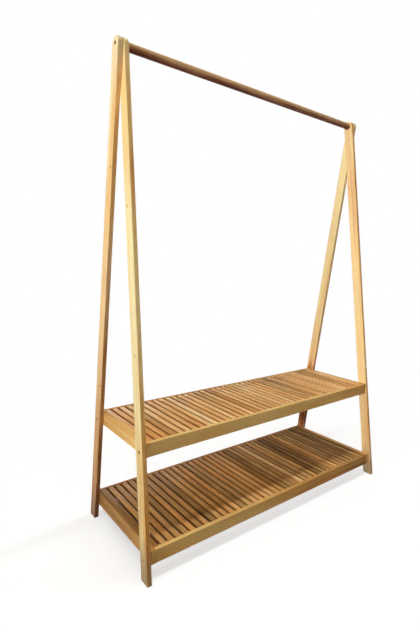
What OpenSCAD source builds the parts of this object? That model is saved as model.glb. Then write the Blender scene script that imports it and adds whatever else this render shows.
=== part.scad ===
// Slatted A-frame clothes rack: two pairs of lapped legs carry a round hanging rail
// and two slatted shelves. X runs along the rail, the front is at -Y, Z is up.
// The origin is on the floor, under the middle of the rail.

/* [Frame] */
// Height of the two apex bolts above the floor
pivot_h = 1500; // [1200:10:1800]
// Distance between front and rear leg centre lines at the floor
foot_spread = 392; // [330:2:470]
// Outside length of both shelf frames
shelf_len = 1080; // [900:10:1300]

/* [Legs] */
// Width of a leg, seen from the end of the rack
leg_w = 38; // [32:1:46]
// Thickness of a leg, seen from the front
leg_t = 15; // [13:0.5:18]
// Radius of the eased long edges
leg_edge_r = 1.8; // [0.5:0.1:3]
// Thickness of the washer between the two crossing legs
lap_washer_t = 3; // [2.8:0.1:5]

/* [Hanging rail] */
// Diameter of the hanging rail
rail_d = 25; // [21:0.5:30]

/* [Shelves] */
// Height of the upper shelf's top
upper_top = 397; // [330:1:480]
// Height of the lower shelf's top
lower_top = 91; // [76:1:110]
// Height of the frame boards
board_h = 42; // [37:1:50]
// Thickness of an end board
end_t = 14; // [12:0.5:17]
// Width of the lip that stays beside the slats on a front or back rail
lip_w = 12; // [10:0.5:14]
// Depth of the rebate that the slat ends sit in
rebate_w = 15; // [13:0.5:18]
// How far the upper shelf's front stands back from the legs at its top
upper_reveal = 1; // [0.5:0.1:3]
// How far the lower shelf's front stands back from the legs at its top
lower_reveal = 5; // [0.5:0.1:6]
// Radius of the eased edges of boards and slats
board_edge_r = 1; // [0.5:0.1:1.5]

/* [Slats] */
// Number of slats in a shelf
slat_n = 40; // [32:4:44]
// Width of a slat
slat_w = 17; // [14:0.5:19]
// Thickness of a slat
slat_t = 9; // [7.5:0.5:11]

/* [Hardware] */
// Shank diameter of the bolts
bolt_d = 6; // [5:0.5:7]
// Diameter of the bolt heads
head_d = 10; // [9:0.5:11]
// Height of the bolt heads
head_h = 6; // [5:0.5:7]
// Depth of the head below the leg's face
head_sink = 1.5; // [1:0.25:2]
// Length of a threaded insert
insert_l = 18; // [15:1:22]

/* [Hidden] */
$fn = 64;
eps = 0.01;
cut = 1;

// frame geometry
splay = atan(foot_spread / 2 / pivot_h);
end_x = shelf_len / 2;
leg_half_y = leg_w / 2 / cos(splay);
lean = atan((leg_t + lap_washer_t) / (pivot_h - upper_top));
front_leg_x = end_x - lap_washer_t - leg_t / cos(lean);
rail_half = front_leg_x - rail_d / 2 * tan(lean);
leg_below = pivot_h / cos(splay) / cos(lean) + leg_w;

// hardware
hole_clear = 0.3;
head_clear = 0.5;
hole_d = bolt_d + 2 * hole_clear;
counterbore_d = head_d + 2 * head_clear;
counterbore_l = head_h + head_sink;
socket_d = bolt_d - 0.5;
socket_l = head_h / 2;
insert_d = 1.8 * bolt_d;
bolt_grip = 0.75 * insert_l;
washer_d = 3 * bolt_d;
dowel_d = bolt_d;
dowel_half = end_t - 4;

// shelves
slat_group = 4;
group_n = slat_n / slat_group;
slat_gap = (shelf_len - 2 * end_t - slat_n * slat_w) / (slat_n - 1);
rail_w = lip_w + rebate_w;
bolt_drop = slat_t + (board_h - slat_t) / 2;
dowel_side = rail_w / 4 + dowel_d / 2;
dowel_rise = -(board_h - slat_t) / 4;

UPPER = 0;
LOWER = 1;
FRONT = -1;
REAR = 1;
LEFT = -1;
RIGHT = 1;
TOPS = [upper_top, lower_top];
REVEALS = [upper_reveal, lower_reveal];
SHELF = ["upper", "lower"];

// half the front-to-back distance between the leg centre lines at height z
function axis_y(z) = foot_spread / 2 * (1 - z / pivot_h);
// half the depth of the frame of shelf k
function half_depth(k) = axis_y(TOPS[k]) + leg_half_y - REVEALS[k];
// distance from the middle of the rack to a leg's inner face at height z
function leg_in(side, z) = side == REAR ? end_x : end_x + (upper_top - z) * tan(lean);
// the same to its outer face
function leg_out(side, z) = leg_in(side, z) + (side == REAR ? leg_t : leg_t / cos(lean));
// height and front-to-back place of the bolts of shelf k
function bolt_z(k) = TOPS[k] - bolt_drop;
function bolt_y(k) = half_depth(k) - lip_w;

SLAT_NODES = [for (k = [UPPER, LOWER], g = [1:group_n]) str(SHELF[k], "_slats_", g)];

// ---- small shapes -------------------------------------------------------

// rectangle from the origin with rounded corners
module eased_rect(w, h, r) {
    translate([r, 0]) square([w - 2 * r, h]);
    translate([0, r]) square([w, h - 2 * r]);
    for (x = [r, w - r], y = [r, h - r]) translate([x, y]) circle(r);
}

// cylinder along X from x0 to x1
module x_rod(x0, x1, d) {
    translate([x0, 0, 0]) rotate([0, 90, 0]) cylinder(d = d, h = x1 - x0);
}

// ring along X from x0 to x1
module x_ring(x0, x1, d, bore) {
    difference() {
        x_rod(x0, x1, d);
        x_rod(x0 - cut, x1 + cut, bore);
    }
}

// places its child at the left or right, mirrored
module at_end(end) {
    mirror([end == LEFT ? 1 : 0, 0, 0]) children();
}

// places its child at a shelf bolt's axis
module at_bolt(side, k) {
    translate([0, side * bolt_y(k), bolt_z(k)]) children();
}

// ---- legs ---------------------------------------------------------------

// leg hanging from its apex bolt: inner face at x = 0, thickness towards +X
module leg_blank() {
    translate([0, -leg_w / 2, -leg_below])
        linear_extrude(leg_below) eased_rect(leg_t, leg_w, leg_edge_r);
    rotate([0, 90, 0]) rotate_extrude() intersection() {
        translate([-leg_w / 2, 0]) eased_rect(leg_w, leg_t, leg_edge_r);
        square([leg_w, leg_t]);
    }
}

// hole for a bolt, with a sunk seat for its head in the leg's outer face
module leg_hole(side, z) {
    outer = leg_out(side, z);
    x_rod(0, outer + leg_w, hole_d);
    x_rod(outer - counterbore_l, outer + leg_w, counterbore_d);
}

// one leg at the right-hand end
module leg(side) {
    color("burlywood") difference() {
        translate([side == REAR ? end_x : front_leg_x, 0, pivot_h])
            rotate([0, side == REAR ? 0 : -lean, 0])
                rotate([side * splay, 0, 0]) leg_blank();
        translate([0, 0, pivot_h]) leg_hole(side, pivot_h);
        for (k = [UPPER, LOWER]) at_bolt(side, k) leg_hole(side, bolt_z(k));
        translate([0, -foot_spread, -2 * leg_w]) cube([shelf_len, 2 * foot_spread, 2 * leg_w]);
    }
}

// ---- hanging rail and apex ----------------------------------------------

module hanging_rail() {
    color("peru") translate([0, 0, pivot_h]) difference() {
        x_rod(-rail_half, rail_half, rail_d);
        for (end = [LEFT, RIGHT]) at_end(end) {
            x_rod(rail_half - insert_l, rail_half + cut, insert_d);
            x_rod(rail_half - insert_l - bolt_d, rail_half, bolt_d);
        }
    }
}

module rail_inserts() {
    color("goldenrod") translate([0, 0, pivot_h]) for (end = [LEFT, RIGHT]) at_end(end)
        x_ring(rail_half - insert_l, rail_half, insert_d, bolt_d);
}

// socket head bolt along X: shank from x0 to the seat, head beyond it
module bolt(x0, seat) {
    color("dimgray") difference() {
        union() {
            x_rod(x0, seat + eps, bolt_d);
            x_rod(seat, seat + head_h, head_d);
        }
        translate([seat + head_h - socket_l, 0, 0]) rotate([0, 90, 0])
            cylinder(d = socket_d, h = socket_l + cut, $fn = 6);
    }
}

module apex_bolts() {
    for (end = [LEFT, RIGHT]) at_end(end) translate([0, 0, pivot_h])
        bolt(rail_half - bolt_grip, leg_out(REAR, pivot_h) - counterbore_l);
}

module lap_washers() {
    color("silver") translate([0, 0, pivot_h]) for (end = [LEFT, RIGHT]) at_end(end)
        x_ring(end_x - lap_washer_t + washer_d / 2 * tan(lean), end_x, washer_d, hole_d);
}

// ---- shelf frames -------------------------------------------------------

// rail with a rebate for the slats, front face at y = 0, top at z = 0, depth towards +Y
module shelf_rail_section() {
    difference() {
        translate([0, -board_h]) eased_rect(rail_w, board_h, board_edge_r);
        translate([lip_w, -slat_t]) square([rail_w, 2 * slat_t]);
    }
}

// front or back rail between the end boards
module shelf_rail(side, k) {
    half = end_x - end_t;
    color("burlywood") difference() {
        translate([0, 0, TOPS[k]]) mirror([0, side == REAR ? 1 : 0, 0])
            translate([-half, -half_depth(k), 0]) rotate([90, 0, 90])
                linear_extrude(2 * half) shelf_rail_section();
        at_bolt(side, k) for (end = [LEFT, RIGHT]) at_end(end) {
            x_rod(half - insert_l, half + cut, insert_d);
            x_rod(half - insert_l - bolt_d, half, bolt_d);
        }
        corner_dowels(side, k);
    }
}

// end board at the right-hand end
module end_board(k) {
    depth = half_depth(k);
    color("burlywood") difference() {
        translate([end_x - end_t, depth, TOPS[k] - board_h]) rotate([90, 0, 0])
            linear_extrude(2 * depth) eased_rect(end_t, board_h, board_edge_r);
        for (side = [FRONT, REAR]) {
            at_bolt(side, k) x_rod(0, end_x + cut, hole_d);
            corner_dowels(side, k);
        }
    }
}

// wooden dowels that keep the end boards square on the rails, one at each end of a rail
module corner_dowels(side, k) {
    joint = end_x - end_t;
    translate([0, side * (bolt_y(k) - dowel_side), bolt_z(k) + dowel_rise])
        for (end = [LEFT, RIGHT]) at_end(end)
            x_rod(joint - dowel_half, joint + dowel_half, dowel_d);
}

module shelf_dowels(k) {
    color("wheat") for (side = [FRONT, REAR]) corner_dowels(side, k);
}

module shelf_inserts(k) {
    joint = end_x - end_t;
    color("goldenrod") for (side = [FRONT, REAR], end = [LEFT, RIGHT])
        at_end(end) at_bolt(side, k) x_ring(joint - insert_l, joint, insert_d, bolt_d);
}

module shelf_bolts(k) {
    for (side = [FRONT, REAR], end = [LEFT, RIGHT]) at_end(end) at_bolt(side, k)
        bolt(end_x - end_t - bolt_grip, leg_out(side, bolt_z(k)) - counterbore_l);
}

// rings that fill the space between the leaning front legs and the lower end boards
module lower_spacers() {
    color("silver") for (end = [LEFT, RIGHT]) at_end(end) at_bolt(FRONT, LOWER)
        x_ring(end_x, leg_in(FRONT, bolt_z(LOWER)) - washer_d / 2 * tan(lean), washer_d, hole_d);
}

// ---- slats --------------------------------------------------------------

module slat(x, k) {
    length = 2 * (half_depth(k) - lip_w);
    translate([x, length / 2, TOPS[k] - slat_t]) rotate([90, 0, 0])
        linear_extrude(length) eased_rect(slat_w, slat_t, board_edge_r);
}

// group g of the slats of shelf k
module slats(g, k) {
    first = -end_x + end_t;
    color("tan") for (i = [0:slat_group - 1])
        slat(first + ((g - 1) * slat_group + i) * (slat_w + slat_gap), k);
}

// ---- output -------------------------------------------------------------

at_end(LEFT) leg(FRONT);  // front_left_leg
leg(FRONT);  // front_right_leg
at_end(LEFT) leg(REAR);  // rear_left_leg
leg(REAR);  // rear_right_leg
hanging_rail();
rail_inserts();
apex_bolts();
lap_washers();
shelf_rail(FRONT, UPPER);  // upper_front_rail
shelf_rail(REAR, UPPER);  // upper_back_rail
at_end(LEFT) end_board(UPPER);  // upper_left_end
end_board(UPPER);  // upper_right_end
shelf_bolts(UPPER);  // upper_bolts
shelf_inserts(UPPER);  // upper_inserts
shelf_dowels(UPPER);  // upper_dowels
shelf_rail(FRONT, LOWER);  // lower_front_rail
shelf_rail(REAR, LOWER);  // lower_back_rail
at_end(LEFT) end_board(LOWER);  // lower_left_end
end_board(LOWER);  // lower_right_end
shelf_bolts(LOWER);  // lower_bolts
shelf_inserts(LOWER);  // lower_inserts
shelf_dowels(LOWER);  // lower_dowels
lower_spacers();
for (k = [UPPER, LOWER], g = [1:group_n])
    slats(g, k);
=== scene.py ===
# %% [markdown]
# # A slatted A-frame clothes rack in oiled teak
# The rack is joinery: four legs lapped in pairs at the top, a round rail between them, and
# two shelf frames filled with slats. The construction model already holds every board, bolt
# and hole at its true size. Blender's share is what the eye reads as wood and metal: grain
# that runs along each board, boards that differ from each other, arrises that are rubbed
# pale, and a soft studio round it all.
#
# The first cell loads the construction model. Each part arrives as an object that sits at
# the origin, with its place in its mesh, so Object coordinates are metres from the middle of
# the rack at floor level. That is handy later: a grain pattern drawn in those coordinates is
# as large as real grain without any fitting.

# %% Load the construction model
import math
import random

import bmesh
import bpy
from mathutils import Matrix, Vector


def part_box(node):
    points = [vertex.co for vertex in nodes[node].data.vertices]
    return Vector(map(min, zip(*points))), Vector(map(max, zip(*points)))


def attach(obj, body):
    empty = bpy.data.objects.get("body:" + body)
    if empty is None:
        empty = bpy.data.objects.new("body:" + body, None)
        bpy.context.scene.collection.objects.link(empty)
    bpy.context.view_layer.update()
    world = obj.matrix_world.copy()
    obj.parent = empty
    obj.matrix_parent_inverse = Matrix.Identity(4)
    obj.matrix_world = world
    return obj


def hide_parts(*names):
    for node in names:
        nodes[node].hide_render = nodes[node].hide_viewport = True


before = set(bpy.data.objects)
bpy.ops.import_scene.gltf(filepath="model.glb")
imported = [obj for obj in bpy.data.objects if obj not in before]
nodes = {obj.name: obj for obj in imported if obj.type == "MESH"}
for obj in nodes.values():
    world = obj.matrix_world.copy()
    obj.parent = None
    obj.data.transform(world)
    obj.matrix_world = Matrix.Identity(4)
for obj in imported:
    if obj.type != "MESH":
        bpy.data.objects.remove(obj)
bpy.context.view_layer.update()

# %% [markdown]
# ## One helper for every shader
# A material is a small graph. Writing it by hand means adding a node, setting its options,
# and plugging things into its sockets, again and again. One function that does those three
# things keeps each material readable: the options are keywords, and the sockets are a
# dictionary whose values are either plain numbers or the output of another node.
#
# Colours are written as the hex codes that a paint program shows. Blender computes light
# with linear values, so a second function converts them once.

# %% Node and colour helpers
def add(tree, kind, sockets=None, **options):
    """Adds a shader node, sets its options, and fills or links its input sockets."""
    node = tree.nodes.new("ShaderNode" + kind)
    for key, value in options.items():
        setattr(node, key, value)
    for key, value in (sockets or {}).items():
        if isinstance(value, bpy.types.NodeSocket):
            tree.links.new(value, node.inputs[key])
        else:
            node.inputs[key].default_value = value
    return node


def linear(hex_code):
    """The linear colour, with full alpha, of an sRGB hex code such as e8c48c."""
    parts = [int(hex_code[i : i + 2], 16) / 255 for i in (0, 2, 4)]
    return [c / 12.92 if c <= 0.04045 else ((c + 0.055) / 1.055) ** 2.4 for c in parts] + [1]


def new_material(name):
    """An empty material and its node tree."""
    material = bpy.data.materials.new(name)
    material.use_nodes = True
    material.node_tree.nodes.clear()
    return material, material.node_tree


print("pale teak in linear light:", [round(c, 3) for c in linear("e8c48c")])

# %% [markdown]
# ## Teak, planed and oiled
# Wood looks like wood because of five things at five sizes:
#
# - growth rings, about 3 mm apart, which a planed face cuts into long lines;
# - pores, dark dashes a third of a millimetre wide and up to a centimetre long;
# - fibres, fainter and finer still, which also break up the shine;
# - mineral streaks, bands a fingertip wide that run half the length of a board;
# - slow drifts of colour over a hand's width, where pale sapwood meets brown heartwood.
#
# A picture could be wrapped round each board, but it would have seams at the edges, and the
# end grain would be wrong. A solid pattern, drawn in space and cut by the surface, gets both
# right, and it is what happens in a real plank. So the material imagines a log. The pith of
# the log is the Z axis, the rings are circles round it, and everything else is noise that is
# stretched along Z. A board is a piece of that log: *place* is a point measured from the
# middle of the board, and *cut* is where in the log that middle was.

# %% Real sizes of the grain, in metres
RING_SPACING = 0.0031
GRAIN = {  # width across the grain, length along it, detail, shift
    "drift": (0.045, 0.4, 2, 0.0),
    "streak": (0.009, 0.3, 1, 3.7),
    "wander": (0.02, 0.25, 1, 0.0),
    "fibre": (0.0006, 0.03, 2, 0.0),
    "pore": (0.0011, 0.014, 1, 0.0),  # three times real pores, which a small picture can't show
    "blush": (0.045, 0.6, 1, 9.1),
}
PORE_EDGES = (0.6, 0.72)  # noise under the first is solid wood, over the second an open pore
RING_WANDER = 5.0  # how many rings' width the rings stray from a circle
DARKENING, PALING = 1.2, 6.0  # how steeply a ring darkens in its season, and pales in winter
BOARD_WIDTH = 0.038
print("a", BOARD_WIDTH * 1000, "mm board shows up to", round(BOARD_WIDTH / RING_SPACING), "rings")


# %% Patterns of the log
def log_patterns(tree, log):
    """Every pattern that a point in the log belongs to, each a number from 0 to 1."""
    pattern = {}
    for name, (across, along, detail, shift) in GRAIN.items():
        scaled = add(tree, "Mapping", {"Vector": log, "Location": (shift, shift, shift),
                     "Scale": (1 / across, 1 / across, 1 / along)})
        pattern[name] = add(tree, "TexNoise", {"Vector": scaled.outputs[0], "Scale": 1.0,
                            "Detail": detail}).outputs["Fac"]
    pattern["pore"] = add(tree, "MapRange", {"Value": pattern["pore"],
                          "From Min": PORE_EDGES[0], "From Max": PORE_EDGES[1]}).outputs[0]

    radial = add(tree, "VectorMath", {0: log, 1: (1, 1, 0)}, operation="MULTIPLY")
    from_pith = add(tree, "VectorMath", {0: radial.outputs[0]}, operation="LENGTH")
    uneven = add(tree, "Math", {0: pattern["wander"], 1: RING_WANDER}, operation="MULTIPLY")
    years = add(tree, "Math", {0: from_pith.outputs["Value"], 1: 1 / RING_SPACING,
                2: uneven.outputs[0]}, operation="MULTIPLY_ADD")
    season = add(tree, "Math", {0: years.outputs[0]}, operation="FRACT").outputs[0]
    # wood darkens slowly through a season and falls back to pale within a winter
    slow = add(tree, "Math", {0: season, 1: DARKENING}, operation="MULTIPLY").outputs[0]
    fast = add(tree, "Math", {0: season, 1: -PALING, 2: PALING},
               operation="MULTIPLY_ADD").outputs[0]
    pattern["ring"] = add(tree, "Math", {0: slow, 1: fast, 2: 0.1},
                          operation="SMOOTH_MIN").outputs[0]
    return pattern


print("patterns:", ", ".join(GRAIN), "and ring")

# %% [markdown]
# ## One number for how dark the wood is
# All the patterns are added up to a single index: 0 is the palest sapwood and 1 the darkest
# heartwood. A colour ramp turns it into a colour later. With one index, a board is made
# lighter or darker by one number, *tone*, and its patterns stay in step, as they do in wood,
# where a darker streak is also a redder one. Four more things move the index:
#
# - *fade* makes a board darker by so much per metre along X, Y and Z;
# - soft dark spots, each with a place and a radius, are pin knots and one large painted shade;
# - *faces* gives the faces that look along X, Y and Z a shade of their own: darker top and
#   bottom edges on the front rails, darker narrow faces on the legs, paler end grain on the end
#   boards, and darker long sides on the slats, which is painted shade in the gaps between them;
# - an arris that hands and shoes rub is paler, because the oil is gone from it.

# %% Index of a board
MIX = {"drift": 0.9, "streak": 0.45, "ring": 0.15, "fibre": 0.3, "pore": 0.16}
MIDDLE = {"drift": 0.5, "streak": 0.5, "ring": 0.45, "fibre": 0.5, "pore": 0.0}
ARRIS_WEAR = (0.0025, 0.0008)  # distance from an edge where the wear starts and is full
ARRIS_PALENESS = 0.12
SKIN = (0.0008, 0.0003)  # depth below a face where its own shade starts and is full
# Spots are pin knots, and one painted shade on the rear right leg.
SPOT_CORE, SPOT_STRETCH = 0.4, 0.55  # share of a knot that is fully dark, and its height's scale
SPOT_DARKNESS = 0.5


def wood_index(tree, place, pattern, tone, half, fade, faces, knots):
    """The index and the wear at a place. half is half the board's size, and each dark spot is
    (x, y, z, radius), measured from the board's middle: a pin knot, and on one leg a painted
    shade."""
    index = tone
    for name, amount in MIX.items():
        off = add(tree, "Math", {0: pattern[name], 1: MIDDLE[name]}, operation="SUBTRACT")
        index = add(tree, "Math", {0: off.outputs[0], 1: amount, 2: index},
                    operation="MULTIPLY_ADD").outputs[0]
    slow = add(tree, "VectorMath", {0: place, 1: fade}, operation="DOT_PRODUCT")
    index = add(tree, "Math", {0: index, 1: slow.outputs["Value"]}).outputs[0]
    for x, y, z, radius in knots:
        near = add(tree, "VectorMath", {0: place, 1: (x, y, z)}, operation="SUBTRACT")
        oval = add(tree, "VectorMath", {0: near.outputs[0], 1: (1, 1, SPOT_STRETCH)},
                   operation="MULTIPLY")
        size = add(tree, "VectorMath", {0: oval.outputs[0]}, operation="LENGTH")
        spot = add(tree, "MapRange", {"Value": size.outputs["Value"], "From Min": radius,
                   "From Max": SPOT_CORE * radius}, interpolation_type="SMOOTHSTEP")
        index = add(tree, "Math", {0: spot.outputs[0], 1: SPOT_DARKNESS, 2: index},
                    operation="MULTIPLY_ADD").outputs[0]

    inside = add(tree, "VectorMath", {0: place}, operation="ABSOLUTE").outputs[0]
    depth = add(tree, "VectorMath", {0: half, 1: inside}, operation="SUBTRACT").outputs[0]
    skin = add(tree, "MapRange", {"Vector": depth, 7: (SKIN[0],) * 3, 8: (SKIN[1],) * 3},
               data_type="FLOAT_VECTOR").outputs["Vector"]
    on_face = add(tree, "VectorMath", {0: skin, 1: faces}, operation="DOT_PRODUCT")
    index = add(tree, "Math", {0: index, 1: on_face.outputs["Value"]}).outputs[0]
    to_edge = add(tree, "VectorMath", {0: depth, 1: (1, 1, 0)}, operation="MULTIPLY")
    to_edge = add(tree, "VectorMath", {0: to_edge.outputs[0]}, operation="LENGTH")
    worn = add(tree, "MapRange", {"Value": to_edge.outputs["Value"],
               "From Min": ARRIS_WEAR[0], "From Max": ARRIS_WEAR[1]}).outputs[0]
    index = add(tree, "Math", {0: worn, 1: -ARRIS_PALENESS, 2: index},
                operation="MULTIPLY_ADD").outputs[0]
    return index, worn


print("what counts most for the shade:", max(MIX, key=MIX.get))

# %% [markdown]
# ## The surface of oiled wood
# Oil soaks in and leaves no film, so the wood is neither matt like paper nor glossy like
# varnish: a low, wide shine. It is broken up by the fibres, because they stand a hair above
# the softer wood between them, and the pores stay open as fine grooves. Both go into the
# bump, and the fibres into the roughness too. A slow blush warms some stretches, as iron and
# tannin do in teak. Near the foot of a leg the colour is mixed with grey, most at the floor.

# %% Oiled teak
BLUSH, BLUSH_EDGES = "fbe0ba", (0.45, 0.75)  # its colour, the noise where it starts and is full
FOOT_GREY_REACH, FOOT_GREYING = 0.17, 0.62  # metres up from the foot, share of grey at the foot
FOOT_GREY = "7f6a5a"
FIBRE_EDGES, OIL_ROUGHNESS = (0.3, 0.7), (0.46, 0.62)  # from soft wood to standing fibre
ARRIS_POLISH = 0.08
FIBRE_HEIGHT, PORE_DEPTH = 0.5, 0.8  # shares of the relief
RELIEF, RELIEF_STRENGTH = 0.0003, 0.35  # metres, share
OIL_IOR = 1.46


def teak_nodes(tree, place, cut, tone, colours, half, fade=(0, 0, 0), faces=(0, 0, 0), knots=(),
               shine=0.2, foot=None):
    """Fills a tree with oiled teak, with shine as its specular level, and counts its nodes."""
    log = add(tree, "VectorMath", {0: place, 1: cut}, operation="ADD").outputs[0]
    pattern = log_patterns(tree, log)
    index, worn = wood_index(tree, place, pattern, tone, half, fade, faces, knots)

    ramp = add(tree, "ValToRGB", {"Fac": index})
    stops = ramp.color_ramp.elements
    while len(stops) < len(colours):
        stops.new(1.0)
    for stop, (position, hex_code) in zip(stops, colours):
        stop.position, stop.color = position, linear(hex_code)
    blush = add(tree, "MapRange", {"Value": pattern["blush"], "From Min": BLUSH_EDGES[0],
                "From Max": BLUSH_EDGES[1]}).outputs[0]
    colour = add(tree, "Mix", {"Factor": blush, 6: ramp.outputs["Color"], 7: linear(BLUSH)},
                 data_type="RGBA", blend_type="MULTIPLY").outputs[2]
    if foot is not None:
        height = add(tree, "SeparateXYZ", {0: place}).outputs["Z"]
        foot_grey = add(tree, "MapRange", {"Value": height, "From Min": foot, "To Min": FOOT_GREYING,
                   "From Max": foot + FOOT_GREY_REACH, "To Max": 0.0},
                   interpolation_type="SMOOTHSTEP").outputs[0]
        colour = add(tree, "Mix", {"Factor": foot_grey, 6: colour, 7: linear(FOOT_GREY)},
                     data_type="RGBA").outputs[2]

    rough = add(tree, "MapRange", {"Value": pattern["fibre"],
                "From Min": FIBRE_EDGES[0], "From Max": FIBRE_EDGES[1],
                "To Min": OIL_ROUGHNESS[0], "To Max": OIL_ROUGHNESS[1]}).outputs[0]
    rough = add(tree, "Math", {0: worn, 1: -ARRIS_POLISH, 2: rough},
                operation="MULTIPLY_ADD").outputs[0]
    groove = add(tree, "Math", {0: pattern["pore"], 1: -PORE_DEPTH},
                 operation="MULTIPLY").outputs[0]
    relief = add(tree, "Math", {0: pattern["fibre"], 1: FIBRE_HEIGHT, 2: groove},
                 operation="MULTIPLY_ADD").outputs[0]
    bump = add(tree, "Bump", {"Height": relief, "Strength": RELIEF_STRENGTH, "Distance": RELIEF})
    shader = add(tree, "BsdfPrincipled", {"Base Color": colour, "Roughness": rough,
                 "Normal": bump.outputs[0], "IOR": OIL_IOR, "Specular IOR Level": shine})
    add(tree, "OutputMaterial", {"Surface": shader.outputs[0]})
    return len(tree.nodes)


# %% [markdown]
# ## From the solid pattern to a board
# A construction part only needs to tell the pattern three things: where its middle is, which
# way its grain runs, and how wide it is. The first two go into one Mapping node, which moves
# the middle to zero and turns the grain to Z.
#
# The palettes hold the colours of each kind of board. The front left leg is pale sapwood, the
# rear left one is rosier, and the right legs lean to peach. The frame boards are honey, the
# slats are redder, and the rail goes from tan to a deep red brown, whose darkest colours are
# painted shade on its underside. Beech is for the dowels. Each board also has a plank number.
# It seeds the random place in the log that the board is cut from, so trying another number is
# like turning over the next plank on the timber rack.

# %% Palettes, palest to darkest, each colour with its place on the index
LEG_TEAK = [(0.12, "f9eebd"), (0.38, "f5dca0"), (0.6, "e4ae66"), (0.85, "a86c33"),
            (1.0, "7f4e26")]
ROSY_TEAK = [(0.1, "f8e8bc"), (0.4, "eecea0"), (0.62, "d4a46f"), (0.85, "a06434"),
             (1.0, "764822")]
PEACH_TEAK = [(0.1, "ffe9ae"), (0.42, "f5cc95"), (0.65, "d09a64"), (0.82, "8c5228"),
              (1.0, "60341a")]
BOARD_TEAK = [(0.1, "f6d58e"), (0.4, "e6b971"), (0.7, "c4914c"), (1.0, "7f5726")]
SLAT_TEAK = [(0.0, "ffe2b0"), (0.35, "f2be7e"), (0.65, "bf955f"), (1.0, "6f5028")]
RAIL_TEAK = [(0.1, "e4c8a0"), (0.44, "deb68c"), (0.55, "c18d6c"), (0.66, "86513f"),
             (0.9, "4c2a1c")]
BEECH = [(0.0, "f0dab4"), (1.0, "b98c58")]
print("palettes:", LEG_TEAK[1], BOARD_TEAK[1], SLAT_TEAK[1], RAIL_TEAK[1])


# %% One board's own material
def board_teak(name, grain, colours, tone, cut, middle=None, half=None, **more):
    """Gives a construction part its own cut of teak, with the grain along a direction."""
    low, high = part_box(name)
    if middle is None:
        middle = (low + high) / 2
    turn = Vector(grain).rotation_difference(Vector((0, 0, 1)))
    if half is None:
        half = [abs(size) for size in turn @ ((high - low) / 2)]
    material, tree = new_material(f"oiled teak, {name}")
    at = add(tree, "TexCoord").outputs["Object"]
    place = add(tree, "Mapping", {"Vector": at, "Rotation": turn.to_euler(),
                "Location": -(turn @ middle)}).outputs[0]
    teak_nodes(tree, place, cut, tone, colours, half, **more)
    finish(nodes[name], material)


def finish(piece, material):
    """Gives a piece one material all over."""
    piece.data.materials.clear()
    piece.data.materials.append(material)


LOG_LENGTH = 10
FROM_PITH = {  # how far from the pith each kind of piece is cut, at least and at most
    "leg": (0.06, 0.1), "board": (0.05, 0.09), "rail": (0.03, 0.05), "slat": (0.02, 0.09),
    "dowel": (0.08, 0.12),
}


def from_the_log(rng, kind):
    """A random place in the log for a kind of piece."""
    away, turn = rng.uniform(*FROM_PITH[kind]), rng.uniform(0, 2 * math.pi)
    along = rng.uniform(-LOG_LENGTH / 2, LOG_LENGTH / 2)
    return (away * math.cos(turn), away * math.sin(turn), along)


print("board 1 is at", [round(v, 2) for v in from_the_log(random.Random(1), "board")])

# %% [markdown]
# ## Legs
# Each pair of legs is one A: both are straight, and they cross at the apex bolt. The front one
# also leans inwards a little, because it passes outside the shelf ends but inside the other
# leg at the top. The grain must follow the leg, not the world's Z axis, or the rings would run
# off its edge and give it away as a texture. Two points give the leg's axis: the middle of its
# foot and the apex bolt. The pattern is centred on that axis too. The middle of the part's box
# is a millimetre beside it, because the foot is cut at a slant, and that is enough to lose the
# shade of a narrow face.
#
# A few pin knots, left by twigs, sit in the left legs. Between the shelves the rear right leg
# has a long stretch of painted shade, where the upper shelf shades it. It is the same kind of
# soft dark spot, only much larger.

# %% Finish the legs
LEG_SIDE = 0.015 / 2  # from a leg's middle to its broad faces
LEG_HALF = (LEG_SIDE, BOARD_WIDTH / 2, 1.0)  # its slanted ends have no shade of their own
APEX_HEIGHT = 1.5
NEAR_FLOOR = 0.001
# A fade below zero darkens a leg towards the floor: painted shade, as less light reaches low
# down.
LEG_LOOKS = {  # plank, colours, tone, fade per metre of height, shade of the narrow faces
    "front_left_leg": (11, LEG_TEAK, 0.23, -0.2, 0.15),
    "rear_left_leg": (13, ROSY_TEAK, 0.41, -0.6, 0.12),
    "front_right_leg": (6, PEACH_TEAK, 0.24, 0.12, 0.14),
    "rear_right_leg": (10, PEACH_TEAK, 0.2, -0.4, 0.15),
}
DARK_SPOTS = {  # x, y and z from the leg's middle, and radius
    "front_left_leg": [(-LEG_SIDE, 0.006, 0.31, 0.004), (-LEG_SIDE, -0.002, -0.11, 0.0035)],
    "rear_left_leg": [(-LEG_SIDE, -0.008, 0.43, 0.004), (-LEG_SIDE, -0.012, -0.255, 0.0035)],
    # painted shade where the upper shelf shades the rear right leg between the shelves
    "rear_right_leg": [(0, 0, -0.49, 0.12)],
}
for name, (plank, colours, tone, fade, narrow) in LEG_LOOKS.items():
    corners = [v.co for v in nodes[name].data.vertices]
    foot = [corner for corner in corners if corner.z < NEAR_FLOOR]
    foot_middle = sum(foot, Vector()) / len(foot)
    top = [corner for corner in corners if corner.z > APEX_HEIGHT]
    apex = Vector((sum(corner.x for corner in top) / len(top), 0, APEX_HEIGHT))
    grain = apex - foot_middle
    cut = from_the_log(random.Random(plank), "leg")
    board_teak(name, grain, colours, tone, cut, foot_middle + grain / 2, LEG_HALF,
               fade=(0, 0, fade), faces=(0, narrow, 0), knots=DARK_SPOTS.get(name, ()),
               foot=-grain.length / 2)
    print(name, "grain runs", [round(v, 3) for v in grain.normalized()])
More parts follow.
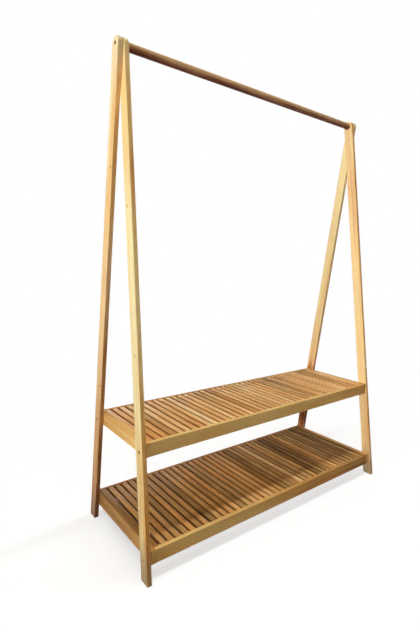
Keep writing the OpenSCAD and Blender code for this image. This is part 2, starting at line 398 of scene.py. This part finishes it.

# %% [markdown]
# ## Shelf frames
# The front and back rails are butted between two end boards, so the ends' own end grain
# shows at the corners. Every board gets a different cut of the log. *fade* darkens a board
# from one end to the other: the left end boards are paler at the front than at the back, and
# the front rails darken to the right, which on the lower front rail is painted shade.

# %% Finish the frame boards
ALONG_X, ALONG_Y = (1, 0, 0), (0, 1, 0)
BOARD_LOOKS = {  # plank, grain, colours, tone, fade per metre, shade of edges, sides and ends
    "upper_front_rail": (2, ALONG_X, BOARD_TEAK, 0.2, 0.25, (0.1, 0, 0)),
    "upper_back_rail": (3, ALONG_X, BOARD_TEAK, 0.6, 0.0, (0, 0, 0)),
    "upper_left_end": (9, ALONG_Y, BOARD_TEAK, 0.33, 1.1, (0, 0, -0.25)),
    "upper_right_end": (7, ALONG_Y, BOARD_TEAK, 0.56, 0.0, (0, 0, -0.1)),
    # the lower front rail's fade is painted shade, darker to the right
    "lower_front_rail": (10, ALONG_X, BOARD_TEAK, 0.37, 0.85, (0.12, 0, 0)),
    "lower_back_rail": (5, ALONG_X, BOARD_TEAK, 0.7, 0.2, (0, 0, 0)),
    "lower_left_end": (4, ALONG_Y, BOARD_TEAK, 0.79, 0.7, (0, 0, -0.45)),
    "lower_right_end": (8, ALONG_Y, BOARD_TEAK, 0.52, 0.0, (0, 0, -0.1)),
}
for name, (plank, grain, colours, tone, fade, faces) in BOARD_LOOKS.items():
    cut = from_the_log(random.Random(plank), "board")
    board_teak(name, grain, colours, tone, cut, fade=(0, 0, fade), faces=faces)
    print(name, "is plank", plank, "with tone", tone)

# %% [markdown]
# ## Hanging rail
# The rail is a turned dowel, 25 mm across. Its grain runs along X, and because the pattern is
# solid, the rings come out as long ovals on the round surface, as they do on a real dowel.
# Its colour also fades across its thickness, as painted light and shade: paler on top and darker
# underneath.

# %% Finish the rail
ROUND = (1.0, 1.0, 1.0)  # a dowel has no arrises to wear
# painted light and shade across the rail: paler on top, darker underneath
RAIL_PAINTED_SHADE = (26, 0, 0)  # X across the turned grain points down
RAIL_PLANK, RAIL_TONE = 4, 0.4
cut = from_the_log(random.Random(RAIL_PLANK), "rail")
board_teak("hanging_rail", ALONG_X, RAIL_TEAK, RAIL_TONE, cut, half=ROUND, fade=RAIL_PAINTED_SHADE)
print("hanging rail is plank", RAIL_PLANK, "with tone", RAIL_TONE)

# %% [markdown]
# ## Slats
# Eighty slats lie in the rebates of the shelf rails. The construction model has them as equal
# bars at exact places. A person who fits slats by hand leaves them a hair out of line, and
# sands each arris by eye, so these are modelled again: one slat is shaped from a cube, with
# its edges eased by a bevel, and copied. Each copy is shifted and turned by fractions of a
# millimetre or a degree, never past the bar that it stands for.
#
# Each shelf has one material for all its slats. Shoes have scuffed the lower shelf, so its oil
# has less shine. What differs from slat to slat is stored on the mesh as attributes: the place
# measured from the slat's own middle with Z along the grain, the cut of the log, and the tone.
# On the lower shelf the tone also grows towards the right back corner: painted shade, as the
# upper shelf shades that corner most.
# Four neighbours are joined into one piece, as in the construction.

# %% Model one slat
SLAT_WIDTH = 0.017
ARRIS = 0.0008
SMOOTH_BELOW = math.radians(35)  # an edge that turns by less is shaded as a smooth one


def model_slat(length, thickness):
    """One slat round the origin, with its edges eased."""
    bpy.ops.object.select_all(action="DESELECT")
    bpy.ops.mesh.primitive_cube_add(size=1)
    slat = bpy.context.object
    bpy.ops.object.mode_set(mode="EDIT")
    bpy.ops.mesh.select_all(action="SELECT")
    bpy.ops.transform.resize(value=(SLAT_WIDTH, length, thickness))
    bpy.ops.mesh.bevel(offset=ARRIS, segments=2, affect="EDGES")
    bpy.ops.object.mode_set(mode="OBJECT")
    bpy.ops.object.shade_smooth_by_angle(angle=SMOOTH_BELOW)
    return slat


def store(piece, name, kind, values):
    """Keeps one value per vertex on a mesh, for its material to read."""
    attribute = piece.data.attributes.new(name, kind, "POINT")
    attribute.data.foreach_set("vector" if kind == "FLOAT_VECTOR" else "value", values)


def join(copies, name):
    """Joins copies into one named piece that sits at the origin."""
    bpy.ops.object.select_all(action="DESELECT")
    for copy in copies:
        copy.select_set(True)
    bpy.context.view_layer.objects.active = copies[0]
    bpy.ops.object.transform_apply(location=True, rotation=True, scale=True)
    bpy.ops.object.join()
    piece = bpy.context.object
    piece.name = name
    return piece


print("slats are", SLAT_WIDTH * 1000, "mm wide with arrises of", ARRIS * 1000, "mm")

# %% Lay the slats
SLATS_PER_SET, SETS = 4, 10
LAST_SLAT = SLATS_PER_SET * SETS - 1
# The lower slats' higher tone is painted shade, for the shade under the upper shelf.
SLAT_TONE, TONE_SPREAD = {"upper": 0.36, "lower": 0.52}, {"upper": 0.2, "lower": 0.14}
TONE_LIMITS = (0.05, 0.9)
# painted shade, darkest at the right back corner of the lower shelf
CORNER_SHADE = {"upper": 0.0, "lower": 0.32}  # added to the tone at the right back corner
FAR_GROWTH = 3  # power: most of it is added over the last slats
LOOSE_FIT = 0.0003  # metres to either side
SUNK = (0.0001, 0.0003)  # metres, least and most
TILT, SKEW = 0.4, 0.1  # degrees

rng = random.Random(7)
slat_sets = []
for shelf in ("upper", "lower"):
    low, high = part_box(f"{shelf}_slats_1")
    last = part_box(f"{shelf}_slats_{SETS}")[1].x - SLAT_WIDTH / 2
    first = low.x + SLAT_WIDTH / 2
    pitch = (last - first) / LAST_SLAT
    master = model_slat(high.y - low.y, high.z - low.z)
    along_grain = [Vector((v.co.x, v.co.z, v.co.y)) for v in master.data.vertices]
    for number in range(1, SETS + 1):
        copies = []
        for k in range((number - 1) * SLATS_PER_SET, number * SLATS_PER_SET):
            slat = bpy.data.objects.new("slat", master.data.copy())
            bpy.context.collection.objects.link(slat)
            loose = 0 if k in (0, LAST_SLAT) else 1
            slat.location = (first + k * pitch + loose * rng.uniform(-LOOSE_FIT, LOOSE_FIT), 0,
                             (low.z + high.z) / 2 - rng.uniform(*SUNK))
            slat.rotation_euler = (0, math.radians(rng.uniform(-TILT, TILT)),
                                   loose * math.radians(rng.uniform(-SKEW, SKEW)))
            cut = from_the_log(rng, "slat")
            tone = rng.gauss(SLAT_TONE[shelf], TONE_SPREAD[shelf])
            tone = min(max(tone, TONE_LIMITS[0]), TONE_LIMITS[1])
            store(slat, "slat_place", "FLOAT_VECTOR", [c for v in along_grain for c in v])
            store(slat, "slat_cut", "FLOAT_VECTOR", list(cut) * len(along_grain))
            far = CORNER_SHADE[shelf] * (k / LAST_SLAT) ** FAR_GROWTH
            store(slat, "slat_tone", "FLOAT",
                  [tone + far * (0.5 + v.z / (high.y - low.y)) for v in along_grain])
            copies.append(slat)
        slat_set = join(copies, f"{shelf}_slat_set_{number}")
        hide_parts(f"{shelf}_slats_{number}")
        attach(slat_set, "root")
        slat_sets.append(slat_set)
    bpy.data.objects.remove(master)
    print(shelf, "shelf: slats every", round(pitch * 1000, 2), "mm")

# %% Finish the slats
SLAT_SHINE = {"upper": 0.2, "lower": 0.08}  # specular level, where 0.5 is the full reflection
# painted shade on the slats' long sides, which face the shaded gaps between them
SLAT_SIDE_SHADE = (0.1, 0, 0)  # how much darker the long sides are
for shelf, shine in SLAT_SHINE.items():
    slat_teak, tree = new_material(f"oiled teak, {shelf} slats")
    place = add(tree, "Attribute", attribute_name="slat_place").outputs["Vector"]
    cut = add(tree, "Attribute", attribute_name="slat_cut").outputs["Vector"]
    tone = add(tree, "Attribute", attribute_name="slat_tone").outputs["Fac"]
    low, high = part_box(f"{shelf}_slats_1")
    slat_half = (SLAT_WIDTH / 2, (high.z - low.z) / 2, (high.y - low.y) / 2)
    count = teak_nodes(tree, place, cut, tone, SLAT_TEAK, slat_half, faces=SLAT_SIDE_SHADE,
                       shine=shine)
    for slat_set in slat_sets:
        if slat_set.name.startswith(shelf):
            finish(slat_set, slat_teak)
    print(shelf, "slats share one material of", count, "nodes")

# %% [markdown]
# ## Metal
# The bolts are steel with a yellow zinc coat that has gone dull, sunk in counterbores so that
# only a rim and a hexagon socket show. The washers are plain zinc, and the inserts that the
# bolts screw into are turned brass. A metal has no colour of its own under the shine: the
# base colour tints the reflection, and the roughness says how blurred that reflection is. A
# fine noise in both keeps it from looking like a mirror.

# %% Metal finishes
WEAR_EDGES = (0.35, 0.65)  # noise where the wear starts and is full
SMOOTHER, ROUGHER = 0.08, 0.12  # what the wear takes from the roughness and adds to it
GRIT_DEPTH, GRIT_STRENGTH = 0.00005, 0.2


def metal(name, hex_code, worn_hex, roughness, grit):
    """A metal whose colour and roughness change over grit, a size in metres."""
    material, tree = new_material(name)
    at = add(tree, "TexCoord").outputs["Object"]
    wear = add(tree, "TexNoise", {"Vector": at, "Scale": 1 / grit, "Detail": 3.0}).outputs["Fac"]
    wear = add(tree, "MapRange", {"Value": wear, "From Min": WEAR_EDGES[0],
               "From Max": WEAR_EDGES[1]}).outputs[0]
    tint = add(tree, "Mix", {"Factor": wear, 6: linear(hex_code), 7: linear(worn_hex)},
               data_type="RGBA").outputs[2]
    rough = add(tree, "MapRange", {"Value": wear, "To Min": roughness - SMOOTHER,
                "To Max": roughness + ROUGHER}).outputs[0]
    bump = add(tree, "Bump", {"Height": wear, "Strength": GRIT_STRENGTH, "Distance": GRIT_DEPTH})
    shader = add(tree, "BsdfPrincipled", {"Base Color": tint, "Metallic": 1.0,
                 "Roughness": rough, "Normal": bump.outputs[0]})
    add(tree, "OutputMaterial", {"Surface": shader.outputs[0]})
    return material


yellow_zinc = metal("yellow zinc on steel, dulled", "c39a63", "a07c4e", 0.46, 0.0011)
zinc = metal("zinc plated steel", "bfc0be", "a3a5a4", 0.32, 0.0015)
brass = metal("turned brass", "cda75e", "b58c46", 0.3, 0.0012)
for name in nodes:
    if name.endswith(("washers", "spacers")):
        finish(nodes[name], zinc)
    if name.endswith("inserts"):
        finish(nodes[name], brass)
print("metals:", yellow_zinc.name, "/", zinc.name, "/", brass.name)

# %% [markdown]
# ## Cap screws
# Ten socket head screws hold the rack together. Each starts as a cylinder of 48 sides. The
# rim is bevelled, the top face is inset, and the inset ring is pulled from a circle to a
# hexagon before it is pushed down as the socket. The shank grows out of the other side in the
# same way. One screw is modelled, and each copy's shank is lengthened to what its own hole
# needs, which is read from the construction part that it stands for.

# %% Model one cap screw
HEAD_RADIUS, HEAD_HEIGHT, SHANK_RADIUS = 0.005, 0.006, 0.003
SOCKET_RADIUS, SOCKET_DEPTH = 0.00275, 0.003
RIM, SCREW_SIDES = 0.0006, 48
SOCKET_SIDES = 6
HAIR = 1e-6  # metres, for telling which end of the screw an edge lies at


def pick(kind, test):
    """In edit mode, selects the faces or edges that pass a test."""
    bpy.ops.mesh.select_mode(type="FACE" if kind == "faces" else "EDGE")
    bpy.ops.mesh.select_all(action="DESELECT")
    mesh = bmesh.from_edit_mesh(bpy.context.object.data)
    for part in getattr(mesh, kind):
        part.select_set(test(part))
    bmesh.update_edit_mesh(bpy.context.object.data)
    return mesh


def whole_end(face, way):
    """Whether a face is the round end of the screw that looks up, for 1, or down, for -1."""
    return way * face.normal.z > 0.99 and len(face.verts) == SCREW_SIDES


def push(distance):
    """Extrudes the selected faces along Z."""
    bpy.ops.mesh.extrude_region_move(TRANSFORM_OT_translate={"value": (0, 0, distance)})


def model_cap_screw(shank_length):
    """A cap screw along Z: its seat at z = 0, its head above and its shank below."""
    bpy.ops.object.select_all(action="DESELECT")
    bpy.ops.mesh.primitive_cylinder_add(vertices=SCREW_SIDES, radius=HEAD_RADIUS,
                                        depth=HEAD_HEIGHT, location=(0, 0, HEAD_HEIGHT / 2))
    screw = bpy.context.object
    bpy.ops.object.transform_apply(location=True)
    bpy.ops.object.mode_set(mode="EDIT")
    pick("edges", lambda edge: all(v.co.z > HEAD_HEIGHT - HAIR for v in edge.verts))
    bpy.ops.mesh.bevel(offset=RIM, segments=3, affect="EDGES")

    pick("faces", lambda face: whole_end(face, 1))
    bpy.ops.mesh.inset(thickness=HEAD_RADIUS - RIM - SOCKET_RADIUS)
    mesh = pick("faces", lambda face: whole_end(face, 1))
    side = 2 * math.pi / SOCKET_SIDES
    for vertex in {v for face in mesh.faces if face.select for v in face.verts}:
        turn = math.atan2(vertex.co.y, vertex.co.x)
        reach = SOCKET_RADIUS * math.cos(side / 2) / math.cos(turn % side - side / 2)
        vertex.co.x, vertex.co.y = reach * math.cos(turn), reach * math.sin(turn)
    bmesh.update_edit_mesh(screw.data)
    push(-SOCKET_DEPTH)

    pick("faces", lambda face: whole_end(face, -1))
    bpy.ops.mesh.inset(thickness=HEAD_RADIUS - SHANK_RADIUS)
    push(-shank_length)
    pick("edges", lambda edge: all(v.co.z < -shank_length + HAIR for v in edge.verts))
    bpy.ops.mesh.bevel(offset=RIM, segments=1, affect="EDGES")
    bpy.ops.object.mode_set(mode="OBJECT")
    bpy.ops.object.shade_smooth_by_angle(angle=SMOOTH_BELOW)
    return screw


SHORTEST_SHANK = 0.02
screw = model_cap_screw(SHORTEST_SHANK)
print("one cap screw has", len(screw.data.polygons), "faces")


# %% Copy the screw to its ten places
TIGHTENED = 3  # radians either way, so that no two sockets stand alike


def corners_of(name, both_sides):
    """For each bolt of a construction part: whether it is at the right, and its box."""
    groups = {}
    for vertex in nodes[name].data.vertices:
        key = (vertex.co.x > 0, both_sides and vertex.co.y > 0)
        groups.setdefault(key, []).append(vertex.co)
    for (right, _), points in sorted(groups.items()):
        low = Vector([min(p[axis] for p in points) for axis in range(3)])
        high = Vector([max(p[axis] for p in points) for axis in range(3)])
        yield right, low, high


for name in ("apex_bolts", "upper_bolts", "lower_bolts"):
    copies = []
    for right, low, high in corners_of(name, name != "apex_bolts"):
        copy = bpy.data.objects.new("cap_screw", screw.data.copy())
        bpy.context.collection.objects.link(copy)
        missing = high.x - low.x - HEAD_HEIGHT - SHORTEST_SHANK
        for vertex in copy.data.vertices:
            if vertex.co.z < -SHORTEST_SHANK / 2:
                vertex.co.z -= missing
        seat = high.x - HEAD_HEIGHT if right else low.x + HEAD_HEIGHT
        copy.location = (seat, (low.y + high.y) / 2, (low.z + high.z) / 2)
        copy.rotation_mode = "ZYX"
        copy.rotation_euler = (0, math.radians(90 if right else -90),
                               rng.uniform(-TIGHTENED, TIGHTENED))
        copies.append(copy)
    screws = join(copies, name.replace("bolts", "cap_screws"))
    finish(screws, yellow_zinc)
    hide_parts(name)
    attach(screws, "root")
    print(screws.name, len(copies), "screws")
bpy.data.objects.remove(screw)

# %% [markdown]
# ## Dowels
# Beech dowels keep each corner square. They are out of sight, but a part is looked at in
# pieces too, so they get a paler, plainer version of the same pattern.

# %% Finish the dowels
DOWEL_TONE = 0.4
for shelf in ("upper", "lower"):
    cut = from_the_log(random.Random(shelf), "dowel")
    board_teak(f"{shelf}_dowels", ALONG_X, BEECH, DOWEL_TONE, cut, half=ROUND)
    print(shelf, "dowels cut at", [round(v, 2) for v in cut])

# %% [markdown]
# ## Floor
# The floor is matt white paper. What the camera sees of it should be as white as the page,
# so its colour is split: rays that light the rack find a darker floor, and rays from the
# camera find white paper that glows a little. Where the rack stands, the glow is faded out,
# so that real shadows stay, and the paper is painted a dark shade colour, so that the gaps
# between the slats look down on painted shade. The patch of painted shade has four soft
# sides, and each is a direction with two distances along it. Further out the paper turns
# slowly into a page of plain white light.

# %% Where the floor has painted shade
SHADE_SIDES = (  # direction, and how far along it the shade ends and the paper is clear
    ((-1, 0, 0), 0.45, 0.52), ((1, 0, 0), 0.46, 0.58),
    ((0, -1, 0), 0.09, 0.145), ((0, 1, 0), 0.21, 0.335),
)
FAR = (0.72, 1.4)  # metres from the middle where the page starts and is plain white

paper, tree = new_material("white studio floor")
at = add(tree, "TexCoord").outputs["Object"]
clear = 0.0
for direction, shaded, bright in SHADE_SIDES:
    reach = add(tree, "VectorMath", {0: at, 1: direction}, operation="DOT_PRODUCT")
    side = add(tree, "MapRange", {"Value": reach.outputs["Value"], "From Min": shaded,
               "From Max": bright}, interpolation_type="SMOOTHSTEP").outputs[0]
    clear = add(tree, "Math", {0: clear, 1: side}, operation="MAXIMUM").outputs[0]
away = add(tree, "VectorMath", {0: at}, operation="LENGTH").outputs["Value"]
far = add(tree, "MapRange", {"Value": away, "From Min": FAR[0], "From Max": FAR[1]},
          interpolation_type="SMOOTHSTEP").outputs[0]
print("the shade has", len(SHADE_SIDES), "sides, and the page starts at", FAR[0], "m")

# %% Paper floor
FLOOR_SIZE = 30
# The shaded paper colour is painted shade under the rack and just behind it.
PAINTED_SHADE_PAPER, CLEAR_PAPER = "5c5148", "c4cad8"  # as the camera sees it
LIGHTING_PAPER = "50301e"  # as the light that bounces off it towards the rack finds it
GLOW = 0.62  # what the clear paper adds of its own, so that it comes out white

ray = add(tree, "LightPath").outputs
seen = add(tree, "Math", {0: ray["Is Camera Ray"], 1: ray["Is Glossy Ray"]},
           operation="MAXIMUM").outputs[0]
white = add(tree, "Mix", {"Factor": clear, 6: linear(PAINTED_SHADE_PAPER), 7: linear(CLEAR_PAPER)},
            data_type="RGBA").outputs[2]
tint = add(tree, "Mix", {"Factor": seen, 6: linear(LIGHTING_PAPER), 7: white},
           data_type="RGBA").outputs[2]
matt = add(tree, "BsdfDiffuse", {"Color": tint})
strength = add(tree, "Math", {0: seen, 1: clear}, operation="MULTIPLY").outputs[0]
strength = add(tree, "Math", {0: strength, 1: GLOW}, operation="MULTIPLY").outputs[0]
glow = add(tree, "Emission", {"Strength": strength})
both = add(tree, "AddShader", {0: matt.outputs[0], 1: glow.outputs[0]})
far_seen = add(tree, "Math", {0: far, 1: seen}, operation="MULTIPLY").outputs[0]
page = add(tree, "Emission", {"Strength": 1.0})
surface = add(tree, "MixShader", {0: far_seen, 1: both.outputs[0], 2: page.outputs[0]})
add(tree, "OutputMaterial", {"Surface": surface.outputs[0]})

bpy.ops.object.select_all(action="DESELECT")
bpy.ops.mesh.primitive_plane_add(size=FLOOR_SIZE)
floor = bpy.context.object
floor.name = "studio_floor"
floor.data.materials.append(paper)
print("floor of", floor.dimensions.x, "m")

# %% [markdown]
# ## Light
# A dim, warm sky fills the shade and is brighter overhead and to the front left. A long strip
# lamp high above the rack gives the tops their light. It is narrow from front to back, so the
# upper shelf's front edge throws a crisp shadow on the lower one, and long from left to right,
# so the slats throw none. A window far to the left lights the ends of the rack and fades
# towards the floor. A warm fill in front keeps the long side readable, and two low fills,
# behind and to the right, do the same for a visitor who walks round.
#
# Rays from the camera, and mirror-like reflections, see plain white in place of the sky.

# %% Sky
SKY_COLOUR = "ffe8c6"
SKY_LEVEL, SKY_RISE = 0.1, 0.25  # strength at the horizon, and what it gains overhead
SKY_TURN = (-0.09, -0.03)  # what it gains towards the right and towards the back

world = bpy.data.worlds.new("studio sky")
bpy.context.scene.world = world
world.use_nodes = True
world.node_tree.nodes.clear()
tree = world.node_tree
heading = add(tree, "TexCoord").outputs["Generated"]
lean = add(tree, "VectorMath", {0: heading, 1: (*SKY_TURN, SKY_RISE)},
           operation="DOT_PRODUCT").outputs["Value"]
level = add(tree, "Math", {0: lean, 1: SKY_LEVEL}, operation="ADD").outputs[0]
warm = add(tree, "Background", {"Color": linear(SKY_COLOUR), "Strength": level})
white = add(tree, "Background", {"Color": (1, 1, 1, 1), "Strength": 1.0})
ray = add(tree, "LightPath").outputs
plain = add(tree, "Math", {0: ray["Is Camera Ray"], 1: ray["Is Glossy Ray"]},
            operation="MAXIMUM").outputs[0]
plain = add(tree, "Math", {0: plain, 1: ray["Is Transmission Ray"]},
            operation="MAXIMUM").outputs[0]
sky = add(tree, "MixShader", {0: plain, 1: warm.outputs[0], 2: white.outputs[0]})
add(tree, "OutputWorld", {"Surface": sky.outputs[0]})
print("sky level", SKY_LEVEL, "rising by", SKY_RISE, "overhead")


# %% Lamps
def area_lamp(name, place, target, size, watts, colour, spread=180):
    """A rectangular lamp, size (width, height) in metres, aimed at a point."""
    lamp = bpy.data.lights.new(name, "AREA")
    lamp.shape, lamp.size, lamp.size_y = "RECTANGLE", *size
    lamp.energy, lamp.color, lamp.spread = watts, colour, math.radians(spread)
    holder = bpy.data.objects.new(name, lamp)
    holder.location = place
    look = Vector(target) - Vector(place)
    holder.rotation_euler = look.to_track_quat("-Z", "Y").to_euler()
    bpy.context.collection.objects.link(holder)
    print(name, watts, "W at", place)


area_lamp("ceiling_strip", (0, -1.09, 12), (0, -0.15, 0.35), (8, 0.53), 565, (0.96, 0.97, 0.88))
area_lamp("side_window", (-10, -1.6, 1.3), (0, 0, 1.2), (1.8, 1.6), 18, (1, 1, 0.96), 25)
area_lamp("front_fill", (-1.2, -3.2, 2.9), (0, 0, 0.9), (2, 2), 15, (1, 0.86, 0.58))
area_lamp("back_fill", (1.5, 5.5, 0.25), (0, 0, 0.7), (4, 0.3), 16, (1, 0.95, 0.88), 60)
area_lamp("right_fill", (6, 1.0, 0.25), (0, 0, 0.7), (5, 0.3), 16, (1, 0.95, 0.88), 60)

# %% [markdown]
# ## Camera
# The camera stands at waist height, a metre in front of the rack and half a metre to the left
# of its left end. The focal length is given in pixels of a picture 630 pixels high, because
# that is what measuring gives, and the sensor turns it into Blender's millimetres.

# %% Camera
FOCAL_PIXELS, LONG_SIDE, SENSOR = 421.532, 630, 36
CAMERA_PLACE = (-1.093322, -1.157428, 0.909407)
YAW, PITCH, ROLL = (math.radians(angle) for angle in (37.652, 7.248, 1.479))

forward = Vector((math.sin(YAW) * math.cos(PITCH), math.cos(YAW) * math.cos(PITCH),
                  -math.sin(PITCH)))
level_right = Vector((math.cos(YAW), -math.sin(YAW), 0))
level_up = level_right.cross(forward)
right = math.cos(ROLL) * level_right + math.sin(ROLL) * level_up
up = math.cos(ROLL) * level_up - math.sin(ROLL) * level_right
camera = bpy.data.objects.new("camera", bpy.data.cameras.new("camera"))
bpy.context.collection.objects.link(camera)
camera.data.sensor_width = SENSOR
camera.data.lens = FOCAL_PIXELS / LONG_SIDE * SENSOR
camera.matrix_world = Matrix.Translation(CAMERA_PLACE) @ Matrix(
    (right, up, -forward)).transposed().to_4x4()
bpy.context.scene.camera = camera
bpy.context.scene.view_settings.view_transform = "Standard"
print("lens", round(camera.data.lens, 2), "mm")
